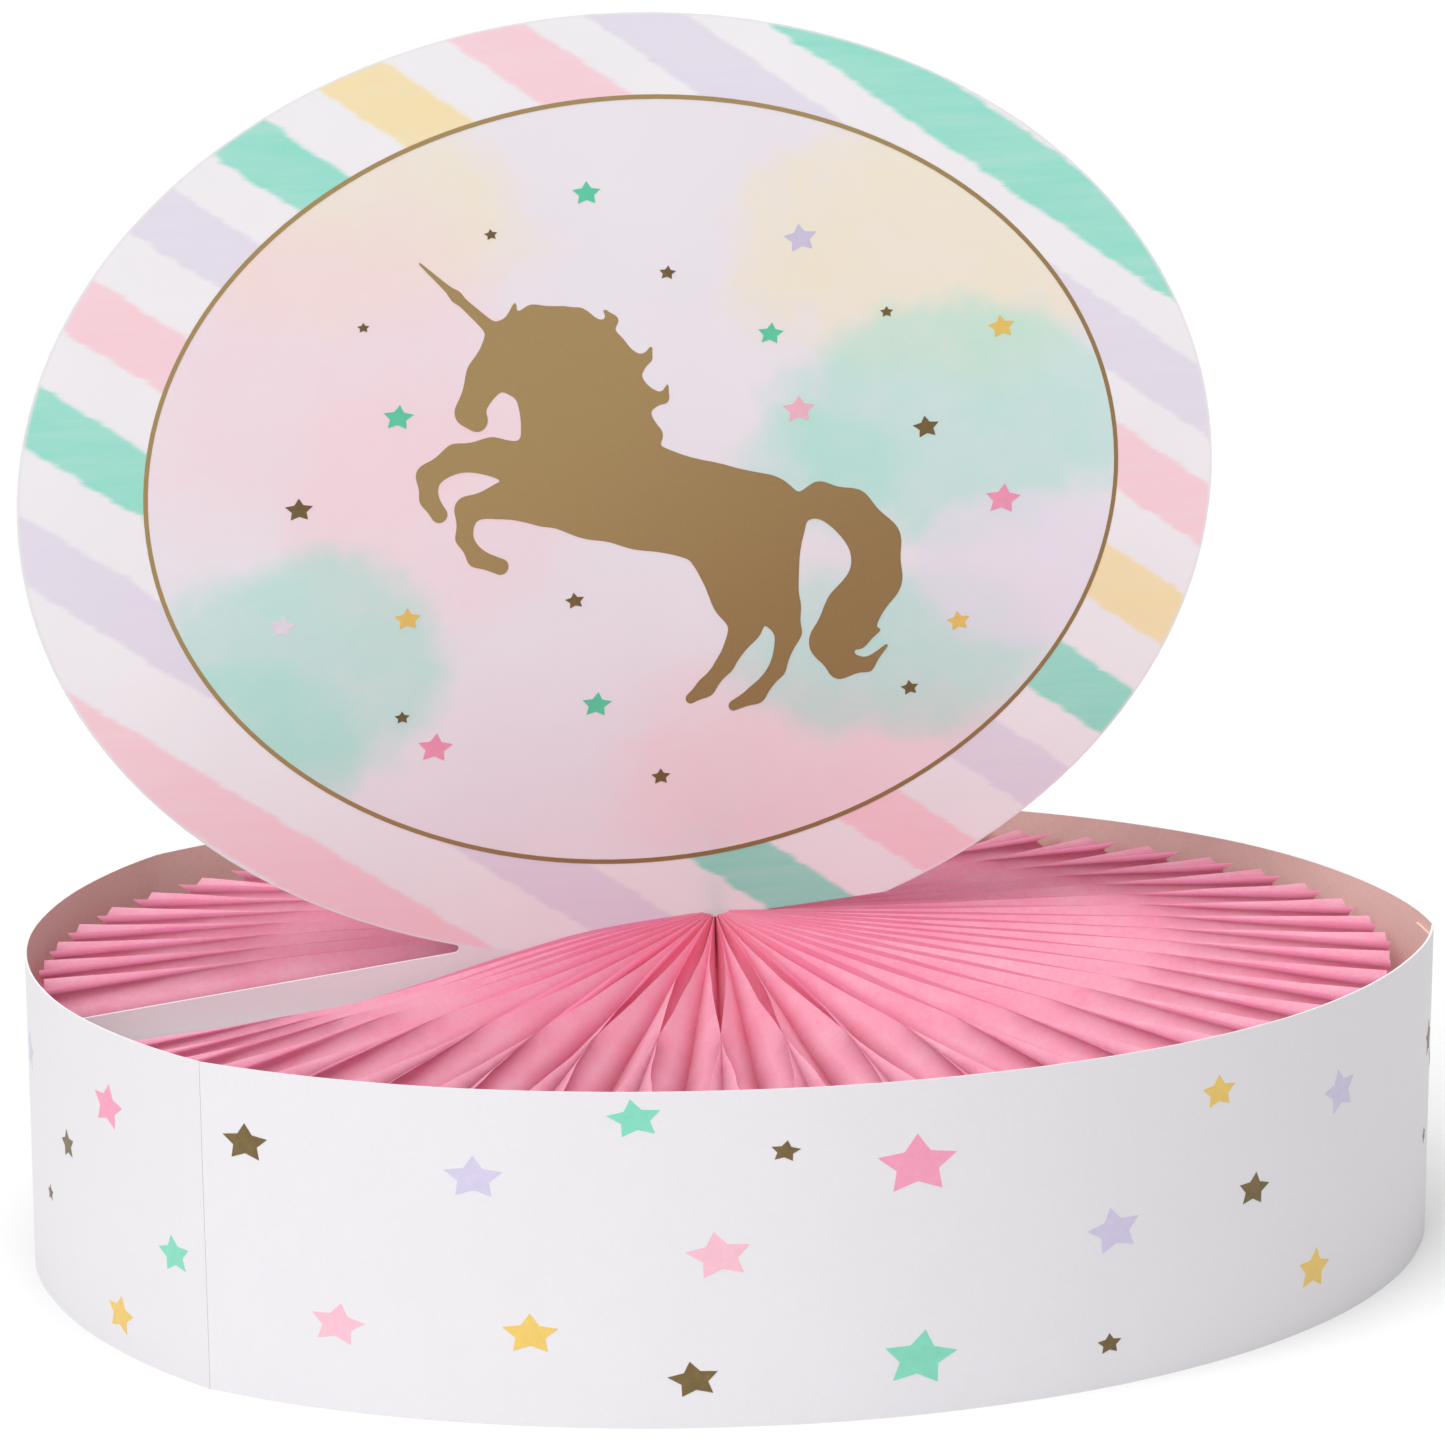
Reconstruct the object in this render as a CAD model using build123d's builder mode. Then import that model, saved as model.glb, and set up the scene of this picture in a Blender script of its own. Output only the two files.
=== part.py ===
from build123d import *

import os
from math import cos, radians, sin

# Honeycomb party centrepiece: a tissue fan inside a card band, with an upright card topper.
# It stands on Z = 0 with the fan's spine on the Z axis. The topper lies in the XZ plane and
# its printed front looks along -Y. Lengths are in millimetres, angles in degrees from +X.

# The band: one card thick, with a soft fold at each crease.
CARD = 0.5
BAND_HEIGHT = 76.0
CREASE_BACK = 128.0
CREASE_LEFT = 212.5
CREASE_RIGHT = 340.0
CREASE_BACK_RADIUS = 182.0
CREASE_LEFT_RADIUS = 178.5
CREASE_RIGHT_RADIUS = 175.5
LEFT_BOW_RADIUS = 170.5
FRONT_BOW_RADIUS = 169.5
BACK_BOW_RADIUS = 169.0
TAB_SPAN = 10.0
TAB_MARGIN = 3.0

# The fan: packets of tissue round a bound spine.
SPINE_RADIUS = 3.5
SPINE_TOP = 70.0
FLOOR_GAP = 2.0
PACKETS = 24
PACKET_INNER = 4.0
PACKET_OUTER = 166.0
PACKET_TOP = 70.0
PACKET_THIN = 0.02
PACKET_THICK = 0.20

# The fan's two stiff covers, one each side of the topper's wing.
WING_DIRECTION = 180.0
COVER_OFFSET = 1.0
COVER_SPAN = 0.5
COVER_OUTER_TOP = 58.0
COVER_INNER_TOP = 68.0
FRONT_COVER_REACH = 170.2
BACK_COVER_REACH = 160.0
FLAP_SPAN = 6.0
FLAP_TOP = 54.0

# The topper: a printed oval, cut straight along the tissue on the right of the spine,
# with a wing on the left that drops between the covers.
SHEET = 0.35
OVAL_CENTRE = (-19.0, 186.5)
OVAL_HALF_WIDTH = 151.5
OVAL_HALF_HEIGHT = 115.5
CUT_INNER = (-5.0, 78.4)
CUT_OUTER = (50.0, 82.0)
WING_FOOT = 4.0
WING_INNER = -32.0
WING_OUTER = -160.0
WING_OUTER_TOP = 66.0
WING_ROOT = (-60.0, 75.5)
WING_FILLET = 1.0

FULL_TURN = 360.0
PACKET_STEP = FULL_TURN / PACKETS


def plan_point(radius, angle):
    """A point of the ground plan at a radius from the spine."""
    return (radius * cos(radians(angle)), radius * sin(radians(angle)))


def band_outline(inset):
    """The band's closed plan: an arc from crease to crease, set in from its face."""
    creases = [
        (CREASE_BACK_RADIUS, CREASE_BACK),
        (CREASE_LEFT_RADIUS, CREASE_LEFT),
        (CREASE_RIGHT_RADIUS, CREASE_RIGHT),
        (CREASE_BACK_RADIUS, CREASE_BACK + FULL_TURN),
    ]
    bows = [LEFT_BOW_RADIUS, FRONT_BOW_RADIUS, BACK_BOW_RADIUS]
    with BuildSketch() as outline:
        with BuildLine():
            for start, end, bow in zip(creases, creases[1:], bows):
                middle = (start[1] + end[1]) / 2
                ThreePointArc(plan_point(*start), plan_point(bow, middle), plan_point(*end))
        make_face()
        if inset > 0:
            offset(amount=-inset, kind=Kind.INTERSECTION, mode=Mode.REPLACE)
    return outline.sketch


def band_wall(inset, start, end):
    """One card's thickness of the band's plan between two angles, set in from its face."""
    reach = 2 * CREASE_BACK_RADIUS
    sides = 6
    corners = [plan_point(reach, start + (end - start) * n / sides) for n in range(sides + 1)]
    with BuildSketch() as wall:
        add(band_outline(inset))
        add(band_outline(inset + CARD), mode=Mode.SUBTRACT)
        with BuildLine():
            Polyline((0, 0), *corners, close=True)
        make_face(mode=Mode.INTERSECT)
    return wall.sketch


def upright_plane(angle):
    """The plane through the Z axis at an angle, with its X outward and its Y up."""
    across, along = plan_point(1, angle)
    return Plane(origin=(0, 0, 0), x_dir=(across, along, 0), z_dir=(along, -across, 0))


def cover_side(reach):
    """A cover's side view, from the spine to its reach, lower at its outer end."""
    with BuildSketch() as side:
        with BuildLine():
            Polyline(
                (SPINE_RADIUS, FLOOR_GAP),
                (reach, FLOOR_GAP),
                (reach, COVER_OUTER_TOP),
                (SPINE_RADIUS, COVER_INNER_TOP),
                close=True,
            )
        make_face()
    return side.sketch


def topper_outline():
    """The topper's outline: the oval, less its straight cut, with the wing."""
    with BuildSketch() as outline:
        with Locations(OVAL_CENTRE):
            Ellipse(OVAL_HALF_WIDTH, OVAL_HALF_HEIGHT)
        with BuildLine():
            Polyline(CUT_INNER, CUT_OUTER, (CUT_OUTER[0], 0), (CUT_INNER[0], 0), close=True)
        make_face(mode=Mode.SUBTRACT)
        with BuildLine():
            Polyline(
                (WING_OUTER, WING_FOOT),
                (WING_INNER, WING_FOOT),
                (WING_INNER, WING_ROOT[1]),
                WING_ROOT,
                (WING_OUTER, WING_OUTER_TOP),
                close=True,
            )
        make_face()
        notch = [v for v in outline.vertices() if v.Y > WING_OUTER_TOP and v.X < WING_INNER]
        fillet(notch, radius=WING_FILLET)
    return outline.sketch


os.makedirs("parts", exist_ok=True)

with BuildPart() as band_front:
    with BuildSketch(Plane.XY):
        add(band_wall(0, CREASE_LEFT, CREASE_RIGHT))
    extrude(amount=BAND_HEIGHT)
band_front.part.label = "band_front"
export_step(band_front.part, "parts/band_front.step")

with BuildPart() as band_back:
    with BuildSketch(Plane.XY):
        add(band_wall(0, CREASE_RIGHT, CREASE_LEFT + FULL_TURN))
    extrude(amount=BAND_HEIGHT)
band_back.part.label = "band_back"
export_step(band_back.part, "parts/band_back.step")

for name, crease in (("glue_tab_left", CREASE_LEFT), ("glue_tab_right", CREASE_RIGHT)):
    with BuildPart() as glue_tab:
        with BuildSketch(Plane.XY.offset(TAB_MARGIN)):
            add(band_wall(CARD, crease - TAB_SPAN / 2, crease + TAB_SPAN / 2))
        extrude(amount=BAND_HEIGHT - 2 * TAB_MARGIN)
    glue_tab.part.label = name
    export_step(glue_tab.part, f"parts/{name}.step")

with BuildPart() as spine:
    with BuildSketch(Plane.XY.offset(FLOOR_GAP)):
        Circle(SPINE_RADIUS)
    extrude(amount=SPINE_TOP - FLOOR_GAP)
spine.part.label = "spine"
export_step(spine.part, "parts/spine.step")

with BuildPart() as front_cover:
    with BuildSketch(upright_plane(WING_DIRECTION + COVER_OFFSET)):
        add(cover_side(FRONT_COVER_REACH))
    revolve(axis=Axis.Z, revolution_arc=COVER_SPAN)
    with BuildSketch(Plane.XY.offset(FLOOR_GAP)):
        flap_start = WING_DIRECTION + COVER_OFFSET
        add(band_wall(CARD, flap_start, flap_start + FLAP_SPAN))
    extrude(amount=FLAP_TOP - FLOOR_GAP)
front_cover.part.label = "front_cover"
export_step(front_cover.part, "parts/front_cover.step")

with BuildPart() as back_cover:
    with BuildSketch(upright_plane(WING_DIRECTION - COVER_OFFSET - COVER_SPAN)):
        add(cover_side(BACK_COVER_REACH))
    revolve(axis=Axis.Z, revolution_arc=COVER_SPAN)
back_cover.part.label = "back_cover"
export_step(back_cover.part, "parts/back_cover.step")

for number in range(PACKETS):
    packet_angle = WING_DIRECTION + PACKET_STEP * (number + 0.5)
    packet_name = f"tissue_packet_{number + 1:02d}"
    with BuildPart() as packet:
        with BuildSketch(Plane.XY.offset(FLOOR_GAP).rotated((0, 0, packet_angle))):
            with BuildLine():
                Polyline(
                    (PACKET_INNER, -PACKET_THIN / 2),
                    (PACKET_OUTER, -PACKET_THICK / 2),
                    (PACKET_OUTER, PACKET_THICK / 2),
                    (PACKET_INNER, PACKET_THIN / 2),
                    close=True,
                )
            make_face()
        extrude(amount=PACKET_TOP - FLOOR_GAP)
    packet.part.label = packet_name
    export_step(packet.part, f"parts/{packet_name}.step")

with BuildPart() as topper_front:
    with BuildSketch(Plane.XZ):
        add(topper_outline())
    extrude(amount=SHEET)
topper_front.part.label = "topper_front"
export_step(topper_front.part, "parts/topper_front.step")

with BuildPart() as topper_back:
    with BuildSketch(Plane.XZ):
        add(topper_outline())
    extrude(amount=-SHEET)
topper_back.part.label = "topper_back"
export_step(topper_back.part, "parts/topper_back.step")
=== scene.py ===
from math import asin, cos, hypot, pi, radians, sin

import bmesh
import bpy
import numpy as np
from mathutils import Matrix, Vector, noise
from mathutils.bvhtree import BVHTree


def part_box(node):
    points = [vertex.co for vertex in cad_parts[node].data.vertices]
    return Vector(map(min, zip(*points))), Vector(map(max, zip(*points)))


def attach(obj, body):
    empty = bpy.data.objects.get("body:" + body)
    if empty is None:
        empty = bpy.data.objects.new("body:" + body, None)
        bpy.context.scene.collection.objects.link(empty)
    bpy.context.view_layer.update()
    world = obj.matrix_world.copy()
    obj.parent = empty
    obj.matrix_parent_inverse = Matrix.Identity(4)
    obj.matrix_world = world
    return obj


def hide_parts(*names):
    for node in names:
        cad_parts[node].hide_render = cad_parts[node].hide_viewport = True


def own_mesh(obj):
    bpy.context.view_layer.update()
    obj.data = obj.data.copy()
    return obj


# The looks of a honeycomb tissue centrepiece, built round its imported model.
# Lengths are in metres, angles in degrees from +X, seen from above. The camera's and the
# lights' azimuths are in degrees from the front, -Y, towards +X.

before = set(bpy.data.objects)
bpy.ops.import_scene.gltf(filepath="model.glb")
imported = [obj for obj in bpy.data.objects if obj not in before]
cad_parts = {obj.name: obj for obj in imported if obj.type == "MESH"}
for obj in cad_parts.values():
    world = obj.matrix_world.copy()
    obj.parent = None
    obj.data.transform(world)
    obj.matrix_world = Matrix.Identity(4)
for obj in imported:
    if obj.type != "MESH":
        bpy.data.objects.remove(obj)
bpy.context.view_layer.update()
MM = 0.001

# Camera: a long lens a little above the band's rim, left of the topper's front.
CAMERA_AZIMUTH = -17.0
CAMERA_DISTANCE = 1.3415
CAMERA_HEIGHT = 0.3626
CAMERA_AIM_HEIGHT = 0.1275
CAMERA_AIM_RIGHT = 0.0026
CAMERA_ROLL = -0.93
CAMERA_LENS = 137.6

# The band: two strips of card from crease to crease, joined by glued laps.
BAND_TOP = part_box("band_front")[1].z
BAND_PRINT_RADIUS = 172.5 * MM
OUTSIDE_BAND = 0.3
CARD = 0.5 * MM
CREASE_LEFT = 212.5
CREASE_RIGHT = 340.0
CREASE_GAP = 0.02
TAB_SPAN = 10.0
TAB_MARGIN = 3.0 * MM
STRIP_ROWS = 12

# How far the card strays from its plan: in waves, and outwards at the top of the right crease.
SLOW_WAVE = 0.7 * MM
QUICK_WAVE = 0.2 * MM
CREASE_FLARE = 1.8 * MM
CREASE_FLARE_SPAN = 30.0

# The topper: an oval of two card sheets, printed inside and outside a gold ring.
TOPPER_LOW, TOPPER_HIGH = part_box("topper_front")
SHEET = 0.35 * MM
OVAL_HALF_WIDTH = (TOPPER_HIGH.x - TOPPER_LOW.x) / 2
OVAL_HALF_HEIGHT = 115.5 * MM
OVAL_X = (TOPPER_HIGH.x + TOPPER_LOW.x) / 2
OVAL_Z = TOPPER_HIGH.z - OVAL_HALF_HEIGHT
RING_X = OVAL_X + 2.5 * MM
RING_Z = OVAL_Z + 1.5 * MM
RING_HALF_WIDTH = 123.2 * MM
RING_HALF_HEIGHT = 93.7 * MM
RING_LINE = 1.1 * MM
INK = 0.06 * MM

# Stars are wider than they are high, and lean left, stand upright and lean right in turn.
TOPPER_STAR_STRETCH = 1.25
TOPPER_STAR_LEAN = 7
BAND_STAR_STRETCH = 1.4
BAND_STAR_LEAN = 9
STAR_WAIST = 0.53

# The tissue fan: its sheets, and the cone that their top edges lie on.
PACKETS = sorted(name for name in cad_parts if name.startswith("tissue_packet_"))
SHEETS_PER_PACKET = 4
FAN_START = 183.5
FAN_SPAN = 354.0
SHEET_STEP = FAN_SPAN / (SHEETS_PER_PACKET * len(PACKETS))
FAN_INNER = 3.6 * MM
FAN_OUTER = 166.5 * MM
FAN_BOTTOM = 2.5 * MM
FAN_TOP = 80.4 * MM
TOP_SLOPE = 0.055

# Sheets are glued to the next along nearly level lines, in turn to the left and right. The
# first line meets the top edge at the crossing radius and sinks by the slant beyond it.
GLUE_SPACING = 6.0 * MM
GLUE_CROSSING = 110.0 * MM
GLUE_SLANT = 0.053
LEAST_DEPTH = 0.05 * MM
INNER_COLUMNS = 13
OUTER_COLUMNS = 8

# Unevenness of the tissue, and the droop of the first sheets, in front of the topper's wing.
CRUMPLE = 0.12
EDGE_WANDER = 1.2 * MM
TOP_WANDER = 0.2 * MM
SAG_DEPTH = 9.0 * MM
SAG_SPAN = 34.0
SAG_START = 20 * MM
SAG_REACH = 90 * MM

# The stage.
FLOOR_RADIUS = 8.0
WORLD_STRENGTH = 0.33


# ---------------------------------------------------------------- node materials

class Shader:
    """A material's node tree, with short calls for the nodes used here."""

    def __init__(self, name):
        self.material = bpy.data.materials.new(name)
        self.material.use_nodes = True
        self.tree = self.material.node_tree
        self.tree.nodes.clear()
        self.output = self.tree.nodes.new("ShaderNodeOutputMaterial")

    def put(self, socket, value):
        """Link a socket to a socket, or set its value."""
        if isinstance(value, bpy.types.NodeSocket):
            self.tree.links.new(value, socket)
        elif hasattr(value, "__len__") and len(value) == 3 and socket.type == "RGBA":
            socket.default_value = (*value, 1.0)
        else:
            socket.default_value = value

    def math(self, operation, a, b=0.0, c=0.0, clamp=False):
        node = self.tree.nodes.new("ShaderNodeMath")
        node.operation = operation
        node.use_clamp = clamp
        for socket, value in zip(node.inputs, (a, b, c)):
            self.put(socket, value)
        return node.outputs[0]

    def mix(self, factor, a, b):
        """Colour a where the factor is 0 and colour b where it is 1."""
        node = self.tree.nodes.new("ShaderNodeMix")
        node.data_type = "RGBA"
        self.put(node.inputs["Factor"], factor)
        self.put(node.inputs[6], a)
        self.put(node.inputs[7], b)
        return node.outputs[2]

    def smooth(self, value, low, high):
        """0 below low, 1 above high, smooth between."""
        node = self.tree.nodes.new("ShaderNodeMapRange")
        node.interpolation_type = "SMOOTHSTEP"
        self.put(node.inputs["Value"], value)
        self.put(node.inputs["From Min"], low)
        self.put(node.inputs["From Max"], high)
        return node.outputs["Result"]

    def scale_to(self, value, low, high):
        """A 0 to 1 value spread from low to high."""
        node = self.tree.nodes.new("ShaderNodeMapRange")
        self.put(node.inputs["Value"], value)
        self.put(node.inputs["To Min"], low)
        self.put(node.inputs["To Max"], high)
        return node.outputs["Result"]

    def place(self):
        """Object coordinates: the row frame's metres."""
        return self.tree.nodes.new("ShaderNodeTexCoord").outputs["Object"]

    def side(self):
        """The surface's own direction, in object space."""
        return self.tree.nodes.new("ShaderNodeTexCoord").outputs["Normal"]

    def split(self, vector):
        node = self.tree.nodes.new("ShaderNodeSeparateXYZ")
        self.put(node.inputs[0], vector)
        return node.outputs

    def mapped(self, vector, scale, rotation=(0, 0, 0)):
        """A vector scaled and turned, to stretch a noise one way."""
        node = self.tree.nodes.new("ShaderNodeMapping")
        self.put(node.inputs["Vector"], vector)
        self.put(node.inputs["Scale"], scale)
        self.put(node.inputs["Rotation"], rotation)
        return node.outputs[0]

    def noise(self, vector, scale, detail=3.0, roughness=0.5):
        node = self.tree.nodes.new("ShaderNodeTexNoise")
        self.put(node.inputs["Vector"], vector)
        self.put(node.inputs["Scale"], scale)
        self.put(node.inputs["Detail"], detail)
        self.put(node.inputs["Roughness"], roughness)
        return node.outputs["Fac"]

    def bump(self, height, strength, distance):
        node = self.tree.nodes.new("ShaderNodeBump")
        self.put(node.inputs["Height"], height)
        self.put(node.inputs["Strength"], strength)
        self.put(node.inputs["Distance"], distance)
        return node.outputs["Normal"]

    def principled(self, colour, roughness, normal=None, **settings):
        node = self.tree.nodes.new("ShaderNodeBsdfPrincipled")
        self.put(node.inputs["Base Color"], colour)
        self.put(node.inputs["Roughness"], roughness)
        if normal is not None:
            self.put(node.inputs["Normal"], normal)
        for name, value in settings.items():
            self.put(node.inputs[name.replace("_", " ")], value)
        return node.outputs[0]

    def finish(self, surface):
        self.tree.links.new(surface, self.output.inputs["Surface"])
        return self.material


def paper_grain(shader, scale=900.0):
    """Fine fibres with a slower mottle, from 0 to 1."""
    place = shader.place()
    fine = shader.noise(place, scale, 4.0, 0.6)
    slow = shader.noise(place, scale / 12, 3.0)
    return shader.math("MULTIPLY_ADD", fine, 0.65, shader.math("MULTIPLY", slow, 0.35))


def card_white():
    """The band's printed face: white satin card, a little cooler in its mottle."""
    shader = Shader("card_white")
    grain = paper_grain(shader)
    colour = shader.mix(grain, (0.67, 0.65, 0.68), (0.73, 0.71, 0.74))
    rough = shader.scale_to(grain, 0.38, 0.52)
    return shader.finish(shader.principled(colour, rough, shader.bump(grain, 0.12, 0.0002)))


def card_inside():
    """Unprinted card: matt, with flecks, in a warm pink tone that is partly the card's own and partly
    painted pink light reflected from the tissue.
    """
    shader = Shader("card_inside")
    grain = paper_grain(shader, 700.0)
    fleck = shader.smooth(shader.noise(shader.place(), 2600.0, 2.0), 0.62, 0.72)
    # Painted reflection: the base tone is tinted pink to stand in for light bounced from the tissue,
    # on top of the card's own warm tone.
    base = shader.mix(grain, (0.66, 0.48, 0.41), (0.80, 0.63, 0.56))
    colour = shader.mix(shader.math("MULTIPLY", fleck, 0.35), base, (0.40, 0.28, 0.24))
    return shader.finish(shader.principled(colour, 0.85, shader.bump(grain, 0.25, 0.0003)))


def card_edge():
    """The cut edge of card: pale, with a trace of the layers."""
    shader = Shader("card_edge")
    layer = shader.noise(shader.mapped(shader.place(), (200, 200, 3000)), 3.0, 2.0)
    colour = shader.mix(layer, (0.62, 0.60, 0.60), (0.80, 0.78, 0.78))
    return shader.finish(shader.principled(colour, 0.8))


def ink(name, colour, spread=0.10):
    """A flat printing ink with slight mottle in tone."""
    shader = Shader(name)
    mottle = shader.noise(shader.place(), 420.0, 4.0, 0.65)
    dark = [channel * (1 - spread) for channel in colour]
    light = [min(1.0, channel * (1 + spread)) for channel in colour]
    return shader.finish(shader.principled(shader.mix(mottle, dark, light), 0.45))


def gold_ink_painted_shade():
    """Gold print: part metallic, with painted shade that darkens it towards the lower right."""
    shader = Shader("gold_ink_painted_shade")
    place = shader.place()
    across = shader.split(place)
    grain = shader.noise(place, 1500.0, 3.0, 0.7)
    slant = shader.math("SUBTRACT", across["X"], across["Z"])
    # Painted shade: a slanting mask blends the gold to a darker, shaded gold towards the lower right
    # of the topper.
    shade = shader.smooth(slant, -0.26, -0.10)
    light = shader.mix(grain, (0.33, 0.225, 0.085), (0.39, 0.27, 0.105))
    shaded_gold = shader.mix(grain, (0.25, 0.155, 0.055), (0.31, 0.195, 0.070))
    colour = shader.mix(shade, light, shaded_gold)
    rough = shader.scale_to(grain, 0.42, 0.55)
    return shader.finish(shader.principled(colour, rough, Metallic=0.2))


def tissue():
    """Thin pink tissue: light comes through it, and its fibres run every way."""
    shader = Shader("tissue")
    place = shader.place()
    fibre = shader.noise(place, 650.0, 5.0, 0.75)
    cloud = shader.noise(place, 60.0, 2.0)
    tone = shader.math("MULTIPLY_ADD", fibre, 0.6, shader.math("MULTIPLY", cloud, 0.4))
    face = shader.mix(shader.smooth(tone, 0.25, 0.75), (1.00, 0.42, 0.60), (1.00, 0.70, 0.82))
    through = shader.mix(tone, (1.00, 0.26, 0.46), (1.00, 0.42, 0.62))
    normal = shader.bump(fibre, 0.25, 0.0002)
    surface = shader.principled(face, 0.8, normal, Sheen_Weight=0.15, Sheen_Roughness=0.6)
    glow = shader.tree.nodes.new("ShaderNodeBsdfTranslucent")
    shader.put(glow.inputs["Color"], through)
    both = shader.tree.nodes.new("ShaderNodeMixShader")
    both.inputs[0].default_value = 0.55
    shader.tree.links.new(surface, both.inputs[1])
    shader.tree.links.new(glow.outputs[0], both.inputs[2])
    return shader.finish(both.outputs[0])


def floor_material():
    """A plain pale floor with a barely visible tone."""
    shader = Shader("floor_pale")
    tone = shader.noise(shader.place(), 3.0, 2.0)
    colour = shader.mix(tone, (0.70, 0.70, 0.70), (0.73, 0.73, 0.73))
    return shader.finish(shader.principled(colour, 0.9))


# Inks of the stars.
TEAL = (0.09, 0.56, 0.34)
MINT = (0.19, 0.60, 0.44)
PINK = (0.80, 0.29, 0.43)
ROSE = (0.80, 0.44, 0.53)
YELLOW = (0.74, 0.50, 0.11)
LAVENDER = (0.56, 0.51, 0.68)
PALE = (0.72, 0.67, 0.76)
GOLD = (0.14, 0.09, 0.022)

# Colours of the topper's washes and stripes.
WASH_CREAM = (0.82, 0.75, 0.54)
WASH_BLUSH = (0.86, 0.63, 0.68)
WASH_MINT = (0.37, 0.74, 0.64)
WASH_LILAC = (0.76, 0.72, 0.82)
STRIPE_TEAL = (0.22, 0.69, 0.55)
STRIPE_PINK = (0.88, 0.57, 0.63)
STRIPE_YELLOW = (0.86, 0.70, 0.35)
STRIPE_LAVENDER = (0.71, 0.67, 0.78)

# Washes inside the ring: place from its centre, half width and height, feather, colour, strength.
WASHES = (
    (-0.070, 0.066, 0.042, 0.024, 0.30, WASH_CREAM, 0.80),
    (0.080, 0.054, 0.050, 0.032, 0.22, WASH_CREAM, 0.90),
    (-0.080, 0.030, 0.050, 0.040, 0.35, WASH_BLUSH, 0.75),
    (-0.052, -0.004, 0.034, 0.030, 0.30, WASH_BLUSH, 0.60),
    (0.050, -0.074, 0.058, 0.020, 0.30, WASH_BLUSH, 0.95),
    (0.020, -0.056, 0.024, 0.012, 0.30, WASH_BLUSH, 0.50),
    (-0.086, -0.040, 0.036, 0.026, 0.22, WASH_MINT, 0.85),
    (-0.098, -0.058, 0.026, 0.018, 0.20, WASH_MINT, 0.70),
    (0.082, 0.012, 0.046, 0.030, 0.16, WASH_MINT, 0.80),
    (0.046, 0.002, 0.022, 0.014, 0.30, WASH_MINT, 0.60),
    (0.064, -0.046, 0.040, 0.020, 0.25, WASH_MINT, 0.80),
    (0.100, -0.026, 0.028, 0.020, 0.14, WASH_LILAC, 0.95),
)

# Stripes outside the ring: distance from its centre, measured across the slant, and colour.
STRIPES = (
    (0.1170, STRIPE_TEAL),
    (0.0935, STRIPE_LAVENDER),
    (0.0700, STRIPE_PINK),
    (0.0435, STRIPE_YELLOW),
    (0.0165, STRIPE_TEAL),
    (-0.0090, STRIPE_LAVENDER),
    (-0.0370, STRIPE_PINK),
    (-0.0650, STRIPE_TEAL),
    (-0.0930, STRIPE_LAVENDER),
    (-0.1230, STRIPE_PINK),
)
STRIPE_SLANT = 34.5
STRIPE_HALF_WIDTH = 7.8 * MM
STRIPE_FEATHER = 1.6 * MM
STRIPE_RAGGEDNESS = 4.0 * MM


def oval_square(shader, x, z, centre, half_size):
    """How far out of an oval a place is, squared: 0 at the centre and 1 on the edge."""
    across = shader.math("DIVIDE", shader.math("SUBTRACT", x, centre[0]), half_size[0])
    up = shader.math("DIVIDE", shader.math("SUBTRACT", z, centre[1]), half_size[1])
    across = shader.math("MULTIPLY", across, across)
    return shader.math("ADD", across, shader.math("MULTIPLY", up, up))


def colour_washes(shader, place, x, z):
    """Pale card under soft oval washes, whose edges and tone vary."""
    wobble = shader.math("SUBTRACT", shader.noise(place, 28.0, 4.0, 0.6), 0.5)
    field = shader.mix(shader.noise(place, 22.0, 2.0), (0.75, 0.71, 0.77), (0.81, 0.78, 0.82))
    for centre_x, centre_z, half_width, half_height, feather, colour, strength in WASHES:
        square = oval_square(shader, x, z, (centre_x, centre_z), (half_width, half_height))
        reach = shader.math("MULTIPLY_ADD", wobble, 1.1, shader.math("SQRT", square))
        patch = shader.math("SUBTRACT", 1.0, shader.smooth(reach, 1.0 - feather, 1.0 + feather))
        pool = shader.scale_to(shader.noise(place, 60.0, 5.0, 0.65), 0.35, 1.15)
        factor = shader.math("MULTIPLY", shader.math("MULTIPLY", patch, strength), pool, clamp=True)
        field = shader.mix(factor, field, colour)
    return field


def slanting_stripes(shader, place, x, z):
    """Pale card under parallel brushed stripes with ragged edges."""
    slant = radians(STRIPE_SLANT)
    across = shader.math("ADD", shader.math("MULTIPLY", x, sin(slant)),
                         shader.math("MULTIPLY", z, cos(slant)))
    brush = shader.noise(shader.mapped(place, (9.0, 9.0, 90.0), (0, slant, 0)), 3.0, 4.0, 0.65)
    ragged = shader.math("MULTIPLY", shader.math("SUBTRACT", brush, 0.5), STRIPE_RAGGEDNESS)
    across = shader.math("ADD", across, ragged)
    border = shader.mix(shader.noise(place, 30.0, 3.0), (0.79, 0.78, 0.81), (0.85, 0.84, 0.86))
    for middle, colour in STRIPES:
        off = shader.math("ABSOLUTE", shader.math("SUBTRACT", across, middle))
        beyond = shader.smooth(off, STRIPE_HALF_WIDTH - STRIPE_FEATHER, STRIPE_HALF_WIDTH)
        wash = shader.scale_to(brush, 0.60, 1.1)
        factor = shader.math("MULTIPLY", shader.math("SUBTRACT", 1.0, beyond), wash, clamp=True)
        border = shader.mix(factor, border, colour)
    return border


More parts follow.
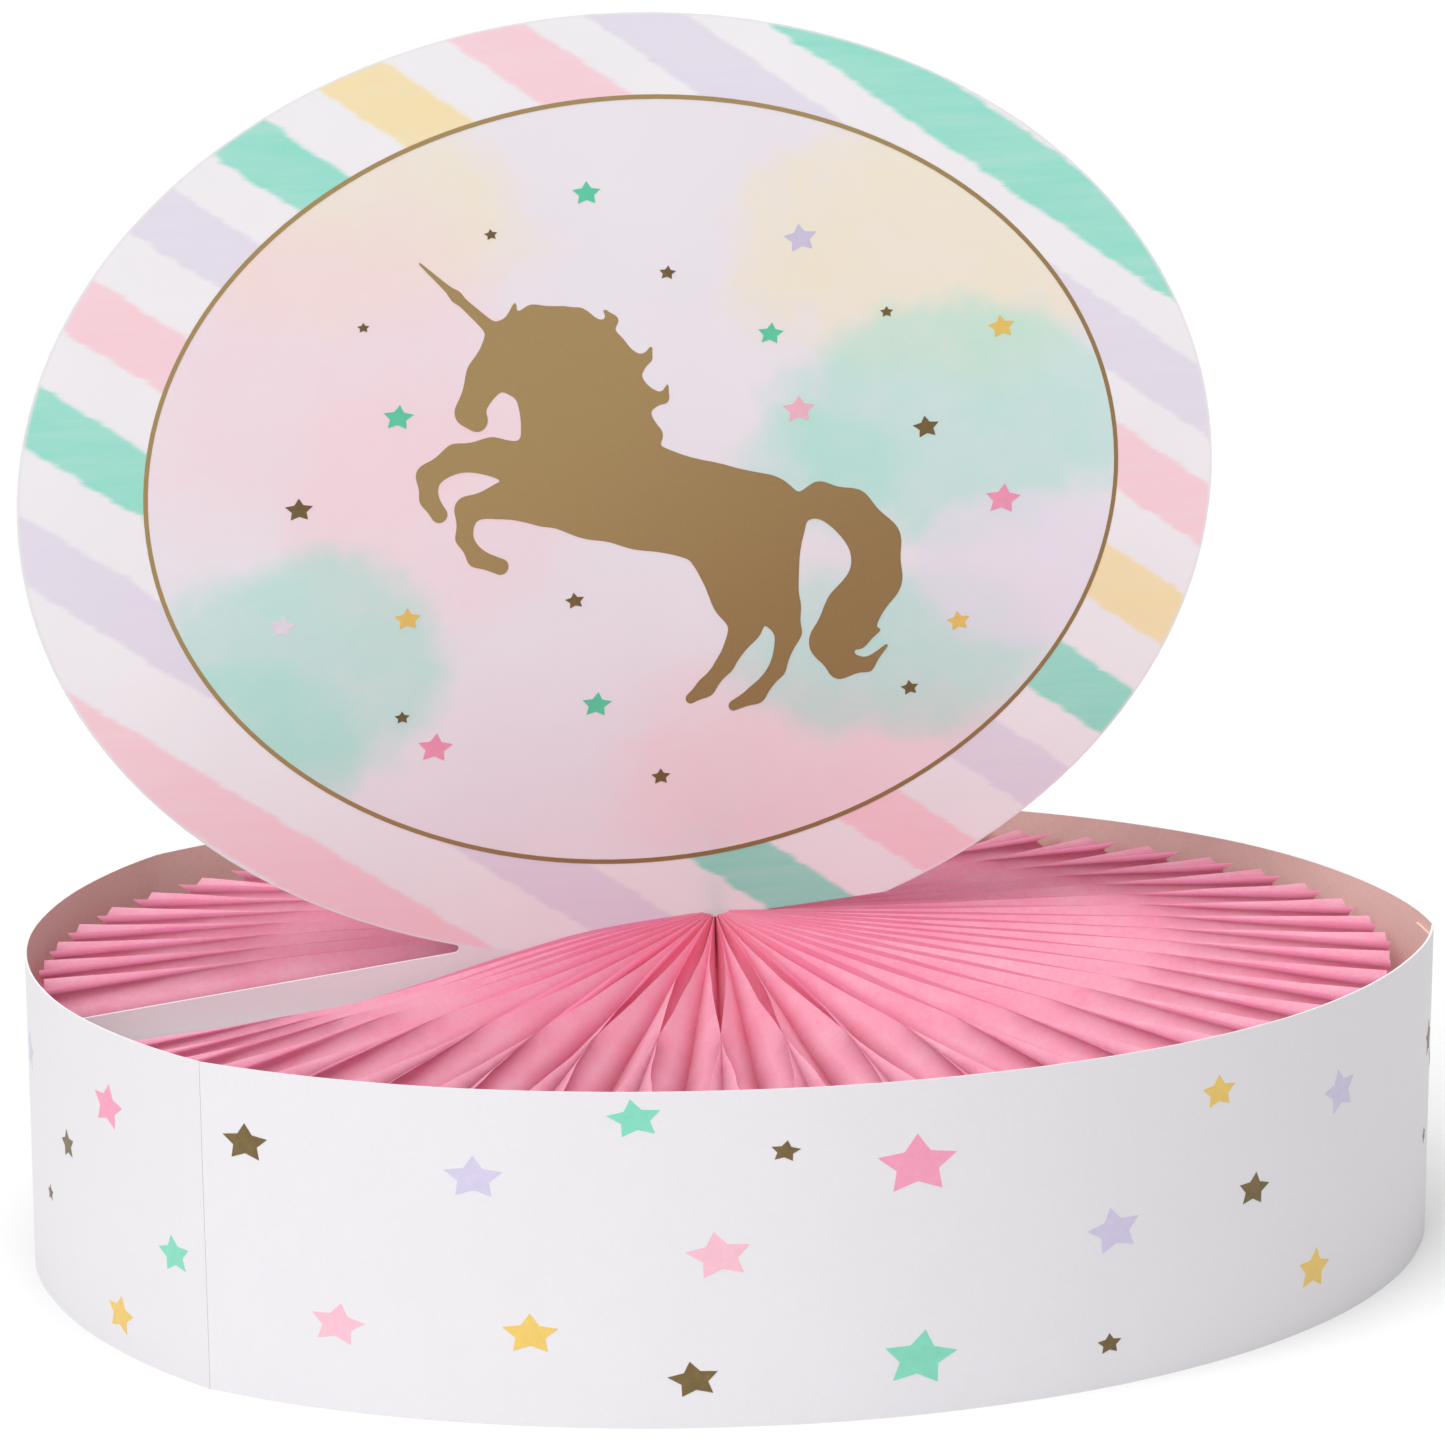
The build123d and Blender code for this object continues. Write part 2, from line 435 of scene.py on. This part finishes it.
def topper_print(name, mirrored):
    """The topper's print: washes inside the ring, stripes outside it, and white below the oval."""
    shader = Shader(name)
    place = shader.place()
    along = shader.split(place)
    x = shader.math("SUBTRACT", along["X"], RING_X)
    if mirrored:
        x = shader.math("MULTIPLY", x, -1.0)
    z = shader.math("SUBTRACT", along["Z"], RING_Z)
    ring = oval_square(shader, x, z, (0.0, 0.0), (RING_HALF_WIDTH, RING_HALF_HEIGHT))
    outside_ring = shader.math("GREATER_THAN", ring, 1.0)
    washes = colour_washes(shader, place, x, z)
    stripes = slanting_stripes(shader, place, x, z)
    printed = shader.mix(outside_ring, washes, stripes)

    # The wing below the oval and the cut edge of the card are bare.
    oval = oval_square(shader, along["X"], along["Z"], (OVAL_X, OVAL_Z),
                       (OVAL_HALF_WIDTH, OVAL_HALF_HEIGHT))
    below = shader.smooth(oval, 0.985, 1.0)
    facing = shader.math("ABSOLUTE", shader.split(shader.side())["Y"])
    cut = shader.math("LESS_THAN", facing, 0.5)
    grain = paper_grain(shader)
    bare = shader.mix(grain, (0.74, 0.73, 0.75), (0.80, 0.79, 0.81))
    colour = shader.mix(shader.math("MAXIMUM", below, cut), printed, bare)
    rough = shader.scale_to(grain, 0.42, 0.55)
    normal = shader.bump(grain, 0.10, 0.0002)
    return shader.finish(shader.principled(colour, rough, normal))


# ---------------------------------------------------------------- meshes

def add_mesh(name, vertices, faces, materials, slots=None, smooth=True):
    """A mesh object in the row frame, with a material slot for each face."""
    mesh = bpy.data.meshes.new(name)
    mesh.from_pydata([tuple(v) for v in vertices], [], faces)
    for material in materials:
        mesh.materials.append(material)
    if slots is not None:
        mesh.polygons.foreach_set("material_index", slots)
    mesh.polygons.foreach_set("use_smooth", [smooth] * len(mesh.polygons))
    mesh.validate()
    mesh.update()
    obj = bpy.data.objects.new(name, mesh)
    bpy.context.scene.collection.objects.link(obj)
    return obj


def flat_point(radius, angle, height):
    """A point at a radius and angle from the fan's spine, at a height."""
    return Vector((radius * cos(radians(angle)), radius * sin(radians(angle)), height))


def node_tree(*names):
    """A search tree of the faces of some CAD nodes."""
    vertices, faces = [], []
    for name in names:
        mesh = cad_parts[name].data
        first = len(vertices)
        vertices += [v.co.copy() for v in mesh.vertices]
        faces += [[first + i for i in p.vertices] for p in mesh.polygons]
    return BVHTree.FromPolygons(vertices, faces)


band_tree = node_tree("band_front", "band_back")


def band_radius(angle):
    """The outer radius of the CAD band at an angle."""
    start = flat_point(OUTSIDE_BAND, angle, BAND_TOP / 2)
    hit = band_tree.ray_cast(start, -Vector((start.x, start.y, 0)).normalized())[0]
    return hypot(hit.x, hit.y)


def band_wave(angle, height):
    """How far the card stands off its plan: slow waves, and a flare at the right crease."""
    turn = radians(angle)
    rise = height / BAND_TOP
    slow = noise.noise(Vector((2.2 * cos(turn), 2.2 * sin(turn), 3.7)))
    quick = noise.noise(Vector((6.5 * cos(turn), 6.5 * sin(turn), 9.1 + 1.5 * rise)))
    away = (angle - CREASE_RIGHT + 180) % 360 - 180
    flare = max(0.0, 1 - abs(away) / CREASE_FLARE_SPAN) ** 2 * rise
    return SLOW_WAVE * slow * rise + QUICK_WAVE * quick + CREASE_FLARE * flare


def band_strip(name, start, end, low, high, inset, materials):
    """A wall of card that follows the band: outer and inner faces, and its four cut edges."""
    columns = int(round(end - start))
    rows = STRIP_ROWS
    vertices = []
    for column in range(columns + 1):
        angle = start + (end - start) * column / columns
        radius = band_radius(angle) - inset
        for row in range(rows + 1):
            height = low + (high - low) * row / rows
            outer = radius + band_wave(angle, height)
            vertices.append(flat_point(outer, angle, height))
            vertices.append(flat_point(outer - CARD, angle, height))

    def corner(column, row):
        return (column * (rows + 1) + row) * 2

    faces, slots = [], []
    for column in range(columns):
        for row in range(rows):
            a, b = corner(column, row), corner(column + 1, row)
            c, d = corner(column + 1, row + 1), corner(column, row + 1)
            faces += [(a, b, c, d), (a + 1, d + 1, c + 1, b + 1)]
            slots += [0, 1]
        a, b = corner(column, 0), corner(column + 1, 0)
        c, d = corner(column + 1, rows), corner(column, rows)
        faces += [(a, a + 1, b + 1, b), (d, c, c + 1, d + 1)]
        slots += [2, 2]
    for row in range(rows):
        a, d = corner(0, row), corner(0, row + 1)
        b, c = corner(columns, row), corner(columns, row + 1)
        faces += [(a, d, d + 1, a + 1), (b, b + 1, c + 1, c)]
        slots += [2, 2]
    strip = add_mesh(name, vertices, faces, materials, slots)
    strip.data.set_sharp_from_angle(angle=radians(40))
    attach(strip, "base")
    return strip


def star_outline(half_width, half_height, turn):
    """The ten points of a five-pointed star."""
    points = []
    for tip in range(10):
        reach = 1.0 if tip % 2 == 0 else STAR_WAIST
        angle = radians(90 + 36 * tip + turn)
        points.append((half_width * reach * cos(angle), half_height * reach * sin(angle)))
    return points


def star_faces(points):
    """Faces from a centre through a half-size ring to the outline, so they can bend."""
    count = len(points)
    inner = [(x * 0.5, y * 0.5) for x, y in points]
    faces = []
    for n in range(count):
        m = (n + 1) % count
        faces.append((0, 1 + n, 1 + m))
        faces.append((1 + n, 1 + count + n, 1 + count + m, 1 + m))
    return [(0.0, 0.0), *inner, *points], faces


def print_on(name, flat, faces, place, material, body):
    """A film of ink: flat faces set on a surface by place(x, y, lift), with their rim."""
    count = len(flat)
    vertices = [place(x, y, INK) for x, y in flat]
    vertices += [place(x, y, -INK / 3) for x, y in flat]
    solid = [tuple(face) for face in faces]
    solid += [tuple(i + count for i in reversed(face)) for face in faces]
    sides = {(a, b) for face in faces for a, b in zip(face, (*face[1:], face[0]))}
    solid += [(b, a, a + count, b + count) for a, b in sides if (b, a) not in sides]
    film = add_mesh(name, vertices, solid, (material,), smooth=False)
    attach(film, body)
    return film


def on_band(angle, height):
    """A place on the band's outer face: x runs to the right as seen from outside."""
    def place(x, y, lift):
        turn = angle + (x / BAND_PRINT_RADIUS) * 180 / pi
        radius = band_radius(turn) + band_wave(turn, height + y) + lift
        return flat_point(radius, turn, height + y)
    return place


def on_topper(centre_x, centre_z, side):
    """A place on the topper: side -1 is its front, and 1 its back, mirrored about the ring."""
    def place(x, y, lift):
        across = RING_X - side * (centre_x + x - RING_X)
        return Vector((across, side * (SHEET + lift), centre_z + y))
    return place


# A rearing unicorn, as tapered strokes in millimetres: across, up, and the stroke's radius.
UNICORN = (
    ((-37, 39, 1.6), (-46, 47.5, 1.0), (-55, 56, 0.25)),
    ((-34, 36, 4.6), (-39, 28, 4.6), (-43.5, 19.5, 3.1), (-41.5, 17.3, 2.6)),
    ((-34, 35, 5.0), (-30, 30, 7.0), (-24, 29, 9.0)),
    ((-33, 40, 1.4), (-31.5, 45, 0.4)),
    ((-25, 31, 9.0), (-18, 20, 12.5), (-17, 8, 13.5), (-12, 0, 13.0)),
    ((-20, 2, 12.0), (0, -3.5, 12.5), (16, -8, 11.8), (29, -11.5, 12.3)),
    ((-30, 6, 5.5), (-38, 8.5, 4.2), (-47, 8.5, 3.1), (-54, 4.5, 2.6), (-54, -1, 1.9),
     (-51.5, -5, 2.0)),
    ((-26, -3, 6.0), (-36, -2.5, 3.9), (-44.5, -4, 2.7), (-45.5, -11, 1.7), (-42.5, -16, 1.9),
     (-36.5, -18.5, 2.0)),
    ((24, -19, 12.0), (25, -28, 8.5), (25.5, -37, 3.8), (20, -46, 2.0), (15, -51.5, 2.0),
     (11, -54, 1.3)),
    ((30, -22, 10.5), (34.5, -33, 5.0), (36.5, -39, 3.0), (33.5, -48, 1.8), (28, -54, 2.0),
     (22, -56.5, 1.3)),
    ((38, -9, 3.0), (45, -6.5, 4.0), (53, -10, 5.4), (59.5, -18, 6.2), (59.5, -27, 6.4),
     (53, -35, 6.8), (47.5, -42, 5.2), (50, -48, 3.2), (57, -48.5, 1.4), (62, -44, 0.4)),
    ((50, -37, 4.0), (55, -42, 1.8), (60, -40, 0.4)),
    ((-33, 38, 3.0), (-27, 41.5, 2.8), (-20, 40.5, 3.4)),
    ((-24, 40, 3.0), (-16, 39.5, 3.6), (-10, 37, 2.4), (-7, 40, 0.9), (-9, 42.5, 0.35)),
    ((-16, 36, 4.0), (-8, 33, 3.8), (-2, 29, 2.4), (1.5, 30.5, 0.8), (2.5, 33, 0.35)),
    ((-12, 30, 4.0), (-5, 25, 4.2), (1, 20.5, 2.5), (5.5, 20.5, 0.9), (6.5, 23.5, 0.35)),
    ((-10, 22, 4.0), (-3, 16, 4.4), (2.5, 11.5, 2.6)),
)
JOIN_SOFTNESS = 0.7
SILHOUETTE_CELL = 0.6
SILHOUETTE_MARGIN = 3


def stroke_gap(x, z, start, end):
    """The distance from points to one tapered stroke, below zero inside it."""
    (x0, z0, r0), (x1, z1, r1) = start, end
    run, rise = x1 - x0, z1 - z0
    share = ((x - x0) * run + (z - z0) * rise) / (run * run + rise * rise)
    share = np.clip(share, 0, 1)
    return np.hypot(x - x0 - share * run, z - z0 - share * rise) - (r0 + share * (r1 - r0))


def silhouette(strokes):
    """The flat faces of softly joined strokes: square cells, cut where the edge crosses them."""
    points = np.array([point for stroke in strokes for point in stroke], dtype=float)
    reach = points[:, 2:] + SILHOUETTE_MARGIN
    low = (points[:, :2] - reach).min(axis=0)
    high = (points[:, :2] + reach).max(axis=0)
    xs = np.arange(low[0], high[0], SILHOUETTE_CELL)
    zs = np.arange(low[1], high[1], SILHOUETTE_CELL)
    x, z = np.meshgrid(xs, zs, indexing="ij")
    total = np.zeros_like(x)
    for stroke in strokes:
        for start, end in zip(stroke, stroke[1:]):
            total += np.exp(-stroke_gap(x, z, start, end) / JOIN_SOFTNESS)
    gap = -JOIN_SOFTNESS * np.log(np.maximum(total, 1e-200))

    flat, known, faces = [], {}, []

    def number(key, point):
        if key not in known:
            known[key] = len(flat)
            flat.append((point[0] * MM, point[1] * MM))
        return known[key]

    for i in range(len(xs) - 1):
        for j in range(len(zs) - 1):
            corners = [(i, j), (i + 1, j), (i + 1, j + 1), (i, j + 1)]
            values = [gap[c] for c in corners]
            if min(values) >= 0:
                continue
            face = []
            for n, (here, value) in enumerate(zip(corners, values)):
                there, other = corners[(n + 1) % 4], values[(n + 1) % 4]
                if value < 0:
                    face.append(number(here, (xs[here[0]], zs[here[1]])))
                if (value < 0) != (other < 0):
                    share = value / (value - other)
                    cross = (xs[here[0]] + share * (xs[there[0]] - xs[here[0]]),
                             zs[here[1]] + share * (zs[there[1]] - zs[here[1]]))
                    face.append(number((min(here, there), max(here, there)), cross))
            if len(face) > 2:
                faces.append(tuple(face))
    return flat, faces


def shape_ring(half_width, half_height, line, segments=160):
    """The faces of a thin oval line."""
    flat = []
    for n in range(segments):
        angle = 2 * pi * n / segments
        for grow in (-line / 2, line / 2):
            flat.append(((half_width + grow) * cos(angle), (half_height + grow) * sin(angle)))
    faces = [(2 * n, 2 * n + 1, (2 * n + 3) % (2 * segments), (2 * n + 2) % (2 * segments))
             for n in range(segments)]
    return flat, faces


# ---------------------------------------------------------------- the tissue fan

def honeycomb_swing(radius, depth):
    """Sideways place of a sheet between its neighbours, from -1 to 1, at a depth below its top."""
    glue_depth = GLUE_SLANT * (radius - GLUE_CROSSING)
    phase = pi * (depth - glue_depth) / GLUE_SPACING
    sharp = 0.995
    return asin(sharp * cos(phase)) / asin(sharp)


def fan_top(radius):
    """The height of the fan's upper edge: a shallow cone."""
    return FAN_TOP - TOP_SLOPE * radius


def fan_sag(angle, radius):
    """How far the first sheets droop in front of the wing."""
    near = max(0.0, 1.0 - (angle - FAN_START) / SAG_SPAN)
    out = min(1.0, max(0.0, (radius - SAG_START) / SAG_REACH))
    return SAG_DEPTH * near * near * (3 - 2 * near) * out * out * (3 - 2 * out)


def sheet_depths(radius, full_depth):
    """Depths below the top edge for one column of points: the edge, then each half cell."""
    first_fold = GLUE_SLANT * (radius - GLUE_CROSSING)
    steps = int(2 * (full_depth - GLUE_SLANT * (FAN_OUTER - GLUE_CROSSING)) / GLUE_SPACING)
    folds = [first_fold + GLUE_SPACING * n / 2 for n in range(steps)]
    return [0.0, *(max(fold, LEAST_DEPTH * (n + 1)) for n, fold in enumerate(folds)), full_depth]


def tissue_sheet(number):
    """One sheet's grid of points, from the spine outwards and from its top edge down."""
    middle = FAN_START + SHEET_STEP * (number + 0.5)
    side = 1 if number % 2 == 0 else -1
    outer = FAN_OUTER + EDGE_WANDER * noise.noise(Vector((number * 0.9, 4.2, 0)))
    radii = [
        *np.linspace(FAN_INNER, GLUE_CROSSING, INNER_COLUMNS),
        *np.linspace(GLUE_CROSSING, outer, OUTER_COLUMNS)[1:],
    ]
    outer_top = fan_top(FAN_OUTER)
    full_depth = outer_top - FAN_BOTTOM
    grid = []
    for radius in radii:
        top = fan_top(radius) + TOP_WANDER * noise.noise(Vector((number * 1.3, radius * 40, 0)))
        sag = fan_sag(middle, radius)
        line = []
        for depth in sheet_depths(radius, full_depth):
            share = depth / full_depth
            height = top - depth - share * (top - outer_top)
            swing = side * honeycomb_swing(radius, depth)
            crumple = noise.noise(Vector((number * 2.1, radius * 55, height * 70)))
            crumple *= CRUMPLE * (1 - swing * swing)
            angle = middle + (swing / 2 + crumple) * SHEET_STEP
            line.append(flat_point(radius, angle, height - sag * (1 - share) ** 2))
        grid.append(line)
    return grid


def tissue_packet(index, material):
    """Four sheets that ride on one packet."""
    vertices, faces = [], []
    for sheet in range(SHEETS_PER_PACKET):
        grid = tissue_sheet(index * SHEETS_PER_PACKET + sheet)
        first = len(vertices)
        rows = len(grid[0])
        for line in grid:
            vertices += line
        for column in range(len(grid) - 1):
            for row in range(rows - 1):
                a = first + column * rows + row
                faces.append((a, a + 1, a + rows + 1, a + rows))
    piece = add_mesh(f"honeycomb_{index + 1:02d}", vertices, faces, (material,))
    body = f"fan_{index + 1:02d}"
    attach(piece, body)
    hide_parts(PACKETS[index])
    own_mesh(piece)
    return piece


# ---------------------------------------------------------------- build the object

white = card_white()
inside = card_inside()
edge = card_edge()
pink_tissue = tissue()
inks = {
    "teal": ink("ink_teal", TEAL),
    "mint": ink("ink_mint", MINT),
    "pink": ink("ink_pink", PINK),
    "rose": ink("ink_rose", ROSE),
    "yellow": ink("ink_yellow", YELLOW),
    "lavender": ink("ink_lavender", LAVENDER),
    "pale": ink("ink_pale", PALE),
    "gold": gold_ink_painted_shade(),
    "star_gold": ink("ink_star_gold", GOLD, spread=0.55),
}

card_faces = (white, inside, edge)
front_strip = band_strip("band_front_card", CREASE_LEFT + CREASE_GAP, CREASE_RIGHT - CREASE_GAP,
                         0, BAND_TOP, 0, card_faces)
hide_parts("band_front")
back_strip = band_strip("band_back_card", CREASE_RIGHT + CREASE_GAP, CREASE_LEFT + 360 - CREASE_GAP,
                        0, BAND_TOP, 0, card_faces)
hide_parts("band_back")
for crease, side in ((CREASE_LEFT, "left"), (CREASE_RIGHT, "right")):
    tab = band_strip(f"glue_tab_{side}_card", crease - TAB_SPAN / 2, crease + TAB_SPAN / 2,
                     TAB_MARGIN, BAND_TOP - TAB_MARGIN, CARD, (inside, inside, inside))
    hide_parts(f"glue_tab_{side}")

for node_name, material in (
    ("front_cover", white),
    ("back_cover", white),
    ("spine", pink_tissue),
    ("topper_front", topper_print("topper_print_front", False)),
    ("topper_back", topper_print("topper_print_back", True)),
):
    node_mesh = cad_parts[node_name].data
    node_mesh.materials.clear()
    node_mesh.materials.append(material)

for index in range(len(PACKETS)):
    tissue_packet(index, pink_tissue)

# The gold ring and the unicorn, on both faces of the topper.
TOPPER_SIDES = ((-1, "front"), (1, "back"))
ring_flat, ring_faces = shape_ring(RING_HALF_WIDTH, RING_HALF_HEIGHT, RING_LINE)
for side, side_name in TOPPER_SIDES:
    print_on(f"ring_{side_name}", ring_flat, ring_faces, on_topper(RING_X, RING_Z, side),
             inks["gold"], "topper")

unicorn_flat, unicorn_faces = silhouette(UNICORN)
for side, side_name in TOPPER_SIDES:
    print_on(f"unicorn_{side_name}", unicorn_flat, unicorn_faces, on_topper(RING_X, RING_Z, side),
             inks["gold"], "topper")

# Stars on the topper: place from the ring's centre and width, in millimetres, and ink.
TOPPER_STARS = (
    (-13, 71, 7.5, "teal"), (-37, 62, 3.5, "star_gold"), (7, 51, 4.5, "star_gold"),
    (-69, 41, 3.2, "star_gold"), (41, 58, 9.0, "lavender"), (33, 35, 7.0, "teal"),
    (63, 39, 3.6, "star_gold"), (93, 34, 7.5, "yellow"), (-61, 19, 8.0, "teal"),
    (40, 16, 8.8, "rose"), (73, 10, 7.2, "star_gold"), (93, -9, 9.8, "pink"),
    (-86, -2, 7.2, "star_gold"), (-18, -28, 5.2, "star_gold"), (-91, -30, 7.0, "pale"),
    (-60, -30, 7.0, "yellow"), (81, -39, 6.5, "yellow"), (-13, -54, 8.0, "teal"),
    (-62, -54, 4.0, "star_gold"), (68, -55, 5.0, "star_gold"), (-54, -62, 9.2, "pink"),
    (3, -73, 5.2, "star_gold"),
)
for side, side_name in TOPPER_SIDES:
    for number, (x, z, width, colour) in enumerate(TOPPER_STARS, 1):
        half_width = width / 2 * MM
        lean = TOPPER_STAR_LEAN * (number % 3 - 1)
        outline = star_outline(half_width, half_width / TOPPER_STAR_STRETCH, lean)
        flat, faces = star_faces(outline)
        place = on_topper(RING_X + x * MM, RING_Z + z * MM, side)
        print_on(f"topper_star_{side_name}_{number:02d}", flat, faces, place,
                 inks[colour], "topper")

# Stars on the band: angle, height above the table and size in millimetres, and ink.
# The set is printed three times, one after another round the band, up to its end angle.
BAND_STARS = (
    (184, 27, 4, "star_gold"), (190, 43, 7, "star_gold"), (199, 58, 11, "pink"),
    (216.5, 59, 9, "star_gold"), (208.5, 29, 9, "mint"), (200, 9, 9.5, "yellow"),
    (235, 56, 10, "lavender"), (247, 70, 9, "mint"), (258, 62, 5, "star_gold"), (268, 57, 14, "pink"),
    (253, 39, 11, "rose"), (224, 20, 10, "rose"), (239, 21, 9.5, "yellow"),
    (251, 11, 8.5, "star_gold"), (268, 13, 13, "mint"), (284, 10, 5, "star_gold"),
    (284.5, 36, 11, "lavender"), (299, 38, 8, "star_gold"), (295, 63, 8, "yellow"),
    (311, 54, 11, "lavender"), (307, 14, 10, "yellow"), (336, 50, 9, "star_gold"),
)
BAND_STAR_REPEAT = 150
BAND_STARS_END = 536
band_stars = [
    (angle + repeat * BAND_STAR_REPEAT, height, size, colour)
    for repeat in range(3)
    for angle, height, size, colour in BAND_STARS
    if angle + repeat * BAND_STAR_REPEAT <= BAND_STARS_END
]
for number, (angle, height, size, colour) in enumerate(band_stars, 1):
    half_height = size / 2 * MM
    lean = BAND_STAR_LEAN * (number % 3 - 1)
    flat, faces = star_faces(star_outline(BAND_STAR_STRETCH * half_height, half_height, lean))
    print_on(f"band_star_{number:02d}", flat, faces, on_band(angle, height * MM),
             inks[colour], "base")

# ---------------------------------------------------------------- stage

floor_mesh = bpy.data.meshes.new("floor")
floor_maker = bmesh.new()
bmesh.ops.create_circle(floor_maker, cap_ends=True, segments=96, radius=FLOOR_RADIUS)
floor_maker.to_mesh(floor_mesh)
floor_maker.free()
floor = bpy.data.objects.new("floor", floor_mesh)
floor_mesh.materials.append(floor_material())
bpy.context.scene.collection.objects.link(floor)

world = bpy.data.worlds.new("studio")
world.use_nodes = True
sky = world.node_tree.nodes["Background"]
sky.inputs["Color"].default_value = (1.0, 1.0, 1.0, 1.0)
sky.inputs["Strength"].default_value = WORLD_STRENGTH
bpy.context.scene.world = world


def soft_sun(name, azimuth, elevation, spread, strength):
    """An even studio light from one side, soft because it is broad."""
    a, e = radians(azimuth), radians(elevation)
    away = Vector((sin(a) * cos(e), -cos(a) * cos(e), sin(e)))
    data = bpy.data.lights.new(name, "SUN")
    data.angle = radians(spread)
    data.energy = strength
    lamp = bpy.data.objects.new(name, data)
    lamp.location = away
    lamp.rotation_euler = (-away).to_track_quat("-Z", "Y").to_euler()
    bpy.context.scene.collection.objects.link(lamp)


# Azimuth, elevation, breadth in degrees, and strength.
soft_sun("key", -62, 42, 50, 1.65)
soft_sun("fill", -12, 22, 60, 0.24)
soft_sun("top", -17, 76, 50, 1.9)
soft_sun("back", 150, 58, 60, 0.75)

camera_data = bpy.data.cameras.new("camera")
camera_data.lens = CAMERA_LENS
camera = bpy.data.objects.new("camera", camera_data)
azimuth = radians(CAMERA_AZIMUTH)
right = Vector((cos(azimuth), sin(azimuth), 0))
outward = Vector((sin(azimuth), -cos(azimuth), 0))
aim = right * CAMERA_AIM_RIGHT + Vector((0, 0, CAMERA_AIM_HEIGHT))
stand = right * CAMERA_AIM_RIGHT + outward * CAMERA_DISTANCE + Vector((0, 0, CAMERA_HEIGHT))
camera.location = stand
look = (aim - stand).to_track_quat("-Z", "Y").to_matrix()
roll = Matrix.Rotation(radians(CAMERA_ROLL), 3, "Z")
camera.rotation_euler = (look @ roll).to_euler()
bpy.context.scene.collection.objects.link(camera)
bpy.context.scene.camera = camera
bpy.context.scene.view_settings.view_transform = "Standard"
